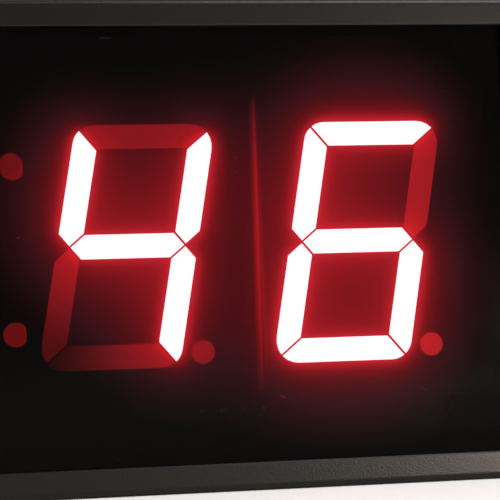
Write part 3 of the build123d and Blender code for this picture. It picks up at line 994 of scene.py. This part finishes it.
@dataclass
class FilterWindow:
    """The smoked sheet in front of the digits.

    Attributes:
        fine: Distance between its points over the digits, in mm.
        coarse: Distance between its points elsewhere, in mm.
        half_digits: Half the width and half the height that the fine points cover, in mm.
        lean_margin: Width at each side in which the columns come upright again, in mm.
        wall: How far inside a module's side its wall shines into the sheet, in mm.
        glow: The grid on which its light is worked out.
        light: Red light on that grid.
    """

    fine: float = 0.4
    coarse: float = 1.6
    half_digits: tuple[float, float] = (50.0, 32.0)
    lean_margin: float = 16.0
    wall: float = 0.3
    glow: GlowField = field(init=False)
    light: np.ndarray = field(init=False)

    def __post_init__(self) -> None:
        """Work out the light that spreads in the sheet, and beside the last module's left wall."""
        low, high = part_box("filter_window")
        self.glow = GlowField((low.x, low.z), (high.x, high.z))
        lit = [outline for module in DISPLAY for outline in module.lit_outlines()]
        digits = [module.digit_outline() for module in DISPLAY]
        faces = [module.face_outline() for module in DISPLAY]
        low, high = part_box(DISPLAY[-1].node("digit_housing"))
        self.light = self.glow.red(lit, digits, faces)
        self.light += self.glow.beside(low.x + self.wall * MM, low.z, high.z)

    def stations(self, half: float, fine_half: float) -> np.ndarray:
        """Places from -half to half, close together within fine_half of the middle.

        Args:
            half: Half the whole width, in metres.
            fine_half: Half the width with close places, in metres.

        Returns:
            The places in rising order.
        """
        inner = np.linspace(-fine_half, fine_half, round(2 * fine_half / (self.fine * MM)) + 1)
        outer = np.linspace(fine_half, half, round((half - fine_half) / (self.coarse * MM)) + 1)[1:]
        return np.concatenate([-outer[::-1], inner, outer])

    def build(self) -> None:
        """Make the sheet as one closed mesh, with a fine grid on its back that carries the light.

        The grid's columns lean with the digits: x = u + slant * v, where u and v count from the
        window's middle, and the slant fades to nothing over the margin at each side.
        """
        low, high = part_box("filter_window")
        half, middle = (high - low) / 2, (high + low) / 2
        us = self.stations(half.x, self.half_digits[0] * MM)
        vs = self.stations(half.z, self.half_digits[1] * MM)
        v, u = np.meshgrid(vs, us, indexing="ij")
        lean = SLANT * np.clip((half.x - np.abs(u)) / (self.lean_margin * MM), 0, 1)
        x, z = middle.x + u + lean * v, middle.z + v
        back = np.stack([x, np.full_like(x, high.y), z], axis=-1).reshape(-1, 3)
        outline = [(low.x, low.z), (high.x, low.z), (high.x, high.z), (low.x, high.z)]
        front = np.array([(corner_x, low.y, corner_z) for corner_x, corner_z in outline])
        index = np.arange(x.size).reshape(x.shape)
        faces = [face[::-1] for face in grid_faces(*x.shape)]
        a, b, c, d = range(x.size, x.size + 4)
        faces.append((a, b, c, d))
        faces.append((b, a, *index[0]))
        faces.append((c, b, *index[:, -1]))
        faces.append((d, c, *index[-1, ::-1]))
        faces.append((a, d, *index[::-1, 0]))
        sheet = new_piece("smoked_window", np.concatenate([back, front]), faces)
        self.add_glow(sheet, len(back))
        join_frame(sheet, self.acrylic().material(), "filter_window")

    def acrylic(self) -> GlowingFinish:
        """Smoked acrylic, polished: it hides what is unlit behind it, and mirrors little of a room.

        Its back face is seen through the front one, so its light is raised by what both take away.

        Returns:
            The finish of the sheet.
        """
        return GlowingFinish(
            "smoked_acrylic", "#050404", "#040303", Grain.POLISHED, 8.0, 0.0, 0.08, 0.03,
            specular=0.04,
            strength=1 / (COVER * (1 - COVER)),
            cover=COVER,
        )

    def add_glow(self, piece: Piece, count: int) -> None:
        """Keep the sheet's light at some points of a piece with its mesh.

        Args:
            piece: The piece.
            count: How many points have light. They come first in its mesh.
        """
        points = mesh_points(piece)
        x, _, z = points[:count].T
        colours = np.zeros((len(points), 4), np.float32)
        colours[:, 3] = 1
        colours[:count, :3] = self.glow.tinted(self.glow.at(self.light, x, z))
        attribute = piece.data.attributes.new("glow", "FLOAT_COLOR", "POINT")
        attribute.data.foreach_set("color", colours.ravel())


@dataclass
class DustFlecks:
    """Specks of dust and lint on the front of the window.

    Attributes:
        flecks: X and Z of each fleck's middle, and half its length, in mm.
        thickness: Height of a fleck in its middle, in mm.
        innermost: Where the innermost row of points is, as a share of the way out.
        rings: Rows of points from the middle out.
        sides: Points in a row.
    """

    flecks: tuple[tuple[float, float, float], ...] = (
        (-29.0, 105.6, 1.4), (-28.4, 8.3, 0.5), (10.1, 21.1, 0.9), (43.7, 21.6, 0.9),
        (-49.7, 59.6, 0.5), (-38.1, 9.7, 0.35), (35.2, 14.7, 0.4),
    )
    thickness: float = 0.05
    innermost: float = 0.15
    rings: int = 4
    sides: int = 14

    def build(self, window: FilterWindow) -> None:
        """Make the flecks as one mesh of low irregular domes.

        At the share s of the way out and the angle t, a point of fleck n lies
        s * cos(t) * (1 + 0.2 * cos(3t + 1.7n)) of the size along the fleck and
        s * sin(t) * (0.3 + 0.1 * cos(2t + 2.3n)) of it across, and its height is the thickness times
        1 - s * s. The fleck leans by 0.6 * sin(1.9n).

        Args:
            window: The window that they lie on, whose light they catch.
        """
        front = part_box("filter_window")[0].y
        share = np.linspace(self.innermost, 1, self.rings)[::-1, None]
        turn = np.linspace(0, 2 * math.pi, self.sides, endpoint=False)[None, :]
        points, faces = [], []
        for number, (x, z, size) in enumerate(self.flecks):
            along = size * share * np.cos(turn) * (1 + 0.2 * np.cos(3 * turn + 1.7 * number))
            across = size * share * np.sin(turn) * (0.3 + 0.1 * np.cos(2 * turn + 2.3 * number))
            lean = 0.6 * math.sin(1.9 * number)
            right = x + along * math.cos(lean) - across * math.sin(lean)
            up = z + along * math.sin(lean) + across * math.cos(lean)
            depth = np.broadcast_to(front / MM - self.thickness * (1 - share**2), along.shape)
            rings = np.stack([right, depth, up], axis=-1) * MM
            fleck_points, fleck_faces = ringed(rings, capped=True)
            faces += [tuple(i + len(points) for i in face) for face in fleck_faces]
            points += fleck_points.tolist()
        piece = new_piece("dust_flecks", np.array(points), faces, smooth=True)
        window.add_glow(piece, len(points))
        # Household lint: dull fluff that shows in the dark by the red light that it catches.
        lint = GlowingFinish(
            "lint", "#1d070b", "#160508", Grain.CAST, 0.1, 0.01, 0.9, specular=0.02, strength=1.9
        )
        join_frame(piece, lint.material())


@dataclass
class ThreadedInserts:
    """The four hexagon brass inserts in the back, with their M4 thread.

    Attributes:
        half_spacing: Half their distance from each other, in mm.
        half_flats: Half the width across flats, in mm.
        length: Their length, in mm.
        minor: Radius of the thread's crests, in mm.
        major: Radius of its roots, in mm.
        pitch: The thread's pitch, in mm.
        edge: Width of the chamfer round the outside, in mm.
        mouth: Width of the chamfer round the bore, in mm.
        sides: Points in a ring.
        rows_in_turn: Rings in one turn of the thread.
    """

    half_spacing: float = 37.5
    half_flats: float = 2.75
    length: float = 6.0
    minor: float = 1.65
    major: float = 1.98
    pitch: float = 0.7
    edge: float = 0.15
    mouth: float = 0.4
    sides: int = 48
    rows_in_turn: int = 6

    def build(self) -> None:
        """Make the inserts as one mesh.

        Round the outside, the radius at the angle t is the half width across flats divided by
        cos(t mod 60 degrees - 30 degrees). In the bore, at the depth y, it rises from the crest to
        the root radius and falls again with the triangle wave of y / pitch - t / (2 pi).
        """
        turn = np.linspace(0, 2 * math.pi, self.sides, endpoint=False)
        flat = 1 / np.cos(np.mod(turn, math.pi / 3) - math.pi / 6)
        depths = np.linspace(0, self.length, round(self.length / self.pitch * self.rows_in_turn))
        wave = np.abs(2 * np.mod(depths[:, None] / self.pitch - turn / (2 * math.pi), 1) - 1)
        fade = np.clip(np.minimum(depths, self.length - depths) / self.mouth, 0, 1)[:, None]
        bore = self.minor + (self.major - self.minor) * (1 - fade * wave)
        outside = [
            (flat * (self.half_flats - self.edge), self.length),
            (flat * self.half_flats, self.length - self.edge),
            (flat * self.half_flats, self.edge),
            (flat * (self.half_flats - self.edge), 0.0),
            (np.full_like(turn, self.major + self.edge), 0.0),
        ]
        radii = np.concatenate([[r for r, _ in outside], bore])
        ys = np.concatenate([[y for _, y in outside], depths])
        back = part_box("mounting_inserts")[1].y / MM
        half = (self.half_spacing, self.half_spacing)
        piece = four_fasteners("threaded_inserts", radii, back - ys, turn, False, half)
        join_frame(piece, FINISHES.get("insert_brass"), "mounting_inserts")


@dataclass
class CaseScrews:
    """The four screws that hold the case together: pan heads with a cross recess.

    Attributes:
        half_places: Half their distance from each other across and up, in mm.
        head_radius: Radius of the head, in mm.
        head_height: Its height, in mm.
        crown: Where the dome begins, as a share of the head's radius.
        dome: Share of the head's height that the dome takes up.
        curve: How far up its curve the dome has rings, in degrees.
        skirt: Share of the head's height at which its side turns upright.
        shank_radius: Radius of the shank, in mm.
        point_length: Length of the point, in mm.
        point: Radius of its end, as a share of the shank's.
        recess_half_length: Half the length of the cross, in mm.
        recess_half_width: Half the width of its arms, in mm.
        recess_depth: Depth of the cross, in mm.
        recess_edge: Depth of the rounding at its rim, in mm.
        recess_taper: Size of its bottom, as a share of its top's.
    """

    half_places: tuple[float, float] = (66.5, 51.3)
    head_radius: float = 2.8
    head_height: float = 1.8
    crown: float = 0.68
    dome: float = 0.75
    curve: tuple[float, ...] = (90, 60, 35, 12)
    skirt: float = 0.2
    shank_radius: float = 1.25
    point_length: float = 0.8
    point: float = 0.4
    recess_half_length: float = 1.5
    recess_half_width: float = 0.35
    recess_depth: float = 1.1
    recess_edge: float = 0.08
    recess_taper: float = 0.8

    def cross(self) -> tuple[np.ndarray, np.ndarray]:
        """Angles of a ring's points, and the radius of the cross at each.

        At the angle t from the nearest arm's middle line, the radius is half the cross's length /
        cos(t) across an arm's end, and half an arm's width / sin(t) along its side. The points are
        on the middle line, at the arm's corner, at 1.6 and 2.4 times its angle, and between arms.

        Returns:
            The angles, and the radii in mm.
        """
        corner = math.atan(self.recess_half_width / self.recess_half_length)
        eighth = np.array([0, corner, corner * 1.6, corner * 2.4, math.pi / 4])
        quarter = np.concatenate([eighth, math.pi / 2 - eighth[1:-1][::-1]])
        turn = (quarter[None, :] + np.arange(4)[:, None] * math.pi / 2).ravel()
        off = np.abs(np.mod(turn + math.pi / 4, math.pi / 2) - math.pi / 4)
        end = self.recess_half_length / np.cos(off)
        side = self.recess_half_width / np.sin(np.maximum(off, corner))
        return turn, np.where(off <= corner + 1e-6, end, side)

    def build(self) -> None:
        """Make the screws as one mesh, from the bottom of the cross out and down to the point.

        At the angle t up its curve, the dome's radius is the head's times crown + (1 - crown) *
        cos(t), and it lies below the top by the dome's height times 1 - sin(t).
        """
        turn, cross = self.cross()
        low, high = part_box("case_screws")
        top, tip = high.y / MM, low.y / MM
        seat = top - self.head_height
        head, shank = np.full_like(turn, self.head_radius), np.full_like(turn, self.shank_radius)
        curve = np.radians(self.curve)
        profile = [
            (self.recess_taper * cross, top - self.recess_depth),
            (cross, top - self.recess_edge),
            *zip(
                head * (self.crown + (1 - self.crown) * np.cos(curve))[:, None],
                top - self.dome * self.head_height * (1 - np.sin(curve)),
            ),
            (head, seat + self.skirt * self.head_height),
            (head, seat),
            (shank, seat),
            (shank, tip + self.point_length),
            (self.point * shank, tip),
        ]
        radii, ys = (np.array(column) for column in zip(*profile))
        piece = four_fasteners("case_screw_set", radii, ys, turn, True, self.half_places)
        join_frame(piece, FINISHES.get("zinc_steel"), "case_screws")


@dataclass
class CaseAndBoard:
    """The case, its fasteners, and the main board with what is on it.

    Attributes:
        opening: Width and height of the window opening, in mm.
        finish_of: The finish of each node that has a plain one.
    """

    opening: tuple[float, float] = (132.0, 101.6)
    finish_of: Mapping[str, str] = field(
        default_factory=lambda: {
            "rear_housing": "housing_abs",
            "board_screws": "black_steel",
            "main_board": "board_laminate",
            "left_driver_chip": "chip_epoxy",
            "right_driver_chip": "chip_epoxy",
            "controller_chip": "chip_epoxy",
            "chip_leads": "tinned_metal",
            "segment_resistors": "resistor_ceramic",
            "crystal": "can_metal",
            "smoothing_capacitor": "capacitor_sleeve",
            "capacitor_leads": "tinned_metal",
            "voltage_regulator": "chip_epoxy",
            "regulator_tab": "tinned_metal",
            "terminal_block": "terminal_plastic",
            "terminal_clamps": "tinned_metal",
        }
    )

    def bezel_plastic(self) -> EdgeHighlightPlastic:
        """Moulded ABS with a spark-eroded grain: nearly black, with a soft and grainy sheen.

        Returns:
            The finish of the bezel.
        """
        low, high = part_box("front_bezel")
        # The bezel carries a painted highlight along the window opening's edge, brighter at the top
        # right.
        return EdgeHighlightPlastic(
            "bezel_abs", "#0b0a09", "#090807", Grain.ERODED, 0.5, 0.035, 0.32,
            specular=0.2,
            half_width=self.opening[0] / 2 * MM,
            half_height=self.opening[1] / 2 * MM,
            middle=(low.z + high.z) / 2,
            front=low.y,
        )

    def dress(self) -> None:
        """Give each node its finish."""
        FINISHES.put("front_bezel", self.bezel_plastic())
        for node, finish in self.finish_of.items():
            FINISHES.put(node, finish)


@dataclass(frozen=True)
class Lamp:
    """A soft lamp that faces the display and that the camera doesn't see.

    Attributes:
        name: The lamp's name.
        place: Its place, in metres.
        size: Its width and height, in metres.
        power: Its power, in watts.
        colour: Its colour, sRGB hex.
    """

    name: str
    place: tuple[float, float, float]
    size: tuple[float, float]
    power: float
    colour: str = "#ffffff"

    def hang(self) -> None:
        """Put the lamp in its place."""
        data = bpy.data.lights.new(self.name, "AREA")
        data.shape = "RECTANGLE"
        data.size, data.size_y = self.size
        data.energy = self.power
        data.color = linear(self.colour)[:3]
        lamp = bpy.data.objects.new(self.name, data)
        low, high = CAD_BOUNDS
        moved = Matrix.Translation(self.place)
        aim = ((low + high) / 2 - moved.translation).to_track_quat("-Z", "Y")
        lamp.matrix_world = moved @ aim.to_matrix().to_4x4()
        lamp.visible_camera = False
        bpy.context.scene.collection.objects.link(lamp)


@dataclass
class Studio:
    """Floor, light and camera.

    Attributes:
        camera_place: The camera's place, in mm.
        yaw: How far it turns to the right of straight at the display, in degrees.
        pitch: How far it looks up, in degrees.
        roll: How far it leans to the right, in degrees.
        lens: Focal length for a sensor 36 mm wide, in mm.
        floor_size: Side of the floor, in metres.
        ambient: Strength of the light from all round.
        lamps: The lamps.
    """

    camera_place: tuple[float, float, float] = (-36.04, -321.27, 38.10)
    yaw: float = 7.355
    pitch: float = 3.219
    roll: float = 1.895
    lens: float = 95.55
    floor_size: float = 12.0
    ambient: float = 0.45
    lamps: tuple[Lamp, ...] = (
        Lamp("overhead_lamp", place=(0.7, -0.9, 1.9), size=(1.2, 1.2), power=38.0),
        Lamp("low_lamp", place=(0.32, -0.52, 0.035), size=(0.12, 0.05), power=4.8, colour="#fff0e2"),
        Lamp("back_lamp", place=(-0.9, 1.2, 0.9), size=(1.6, 1.6), power=8.0),
    )

    def place_camera(self) -> None:
        """Put the camera where the photograph was taken from."""
        data = bpy.data.cameras.new("camera")
        data.lens = self.lens
        data.clip_start = 0.01
        camera = bpy.data.objects.new("camera", data)
        turn = (
            Matrix.Rotation(-math.radians(self.yaw), 4, "Z")
            @ Matrix.Rotation(math.radians(90 + self.pitch), 4, "X")
            @ Matrix.Rotation(-math.radians(self.roll), 4, "Z")
        )
        camera.matrix_world = Matrix.Translation([c * MM for c in self.camera_place]) @ turn
        bpy.context.scene.collection.objects.link(camera)
        bpy.context.scene.camera = camera

    def lay_floor(self) -> None:
        """Lay a plain pale floor under the display."""
        half = self.floor_size / 2
        points = np.array([(-half, -half, 0), (half, -half, 0), (half, half, 0), (-half, half, 0)])
        floor = new_piece("floor", points, [(0, 1, 2, 3)])
        # Uncoated paper: matt and nearly white.
        paper = Finish("pale_paper", "#f4f4f3", "#f2f2f1", Grain.ERODED, 2.0, 0.0, 0.8, specular=0.2)
        floor.data.materials.append(paper.material())

    def light_world(self) -> None:
        """Even pale light from all round, which is also the background."""
        world = bpy.data.worlds.new("studio")
        world.use_nodes = True
        tree = world.node_tree
        tree.nodes.clear()
        pale = {"Color": linear("#f6f5f3"), "Strength": self.ambient}
        light = add_node(tree, "ShaderNodeBackground", pale)
        add_node(tree, "ShaderNodeOutputWorld", {"Surface": light})
        bpy.context.scene.world = world

    def build(self) -> None:
        """Set up the whole studio."""
        self.lay_floor()
        for lamp in self.lamps:
            lamp.hang()
        self.light_world()
        self.place_camera()
        bpy.context.scene.view_settings.view_transform = "Standard"
        log.info("studio ready")


def main() -> None:
    """Build and dress the display, and set up the studio."""
    logging.basicConfig(level=logging.INFO, format="%(message)s")
    CaseAndBoard().dress()
    Colon().dress()
    for module in DISPLAY:
        module.dress()
    ThreadedInserts().build()
    CaseScrews().build()
    window = FilterWindow()
    window.build()
    DustFlecks().build(window)
    Studio().build()


if __name__ == "__main__":
    main()
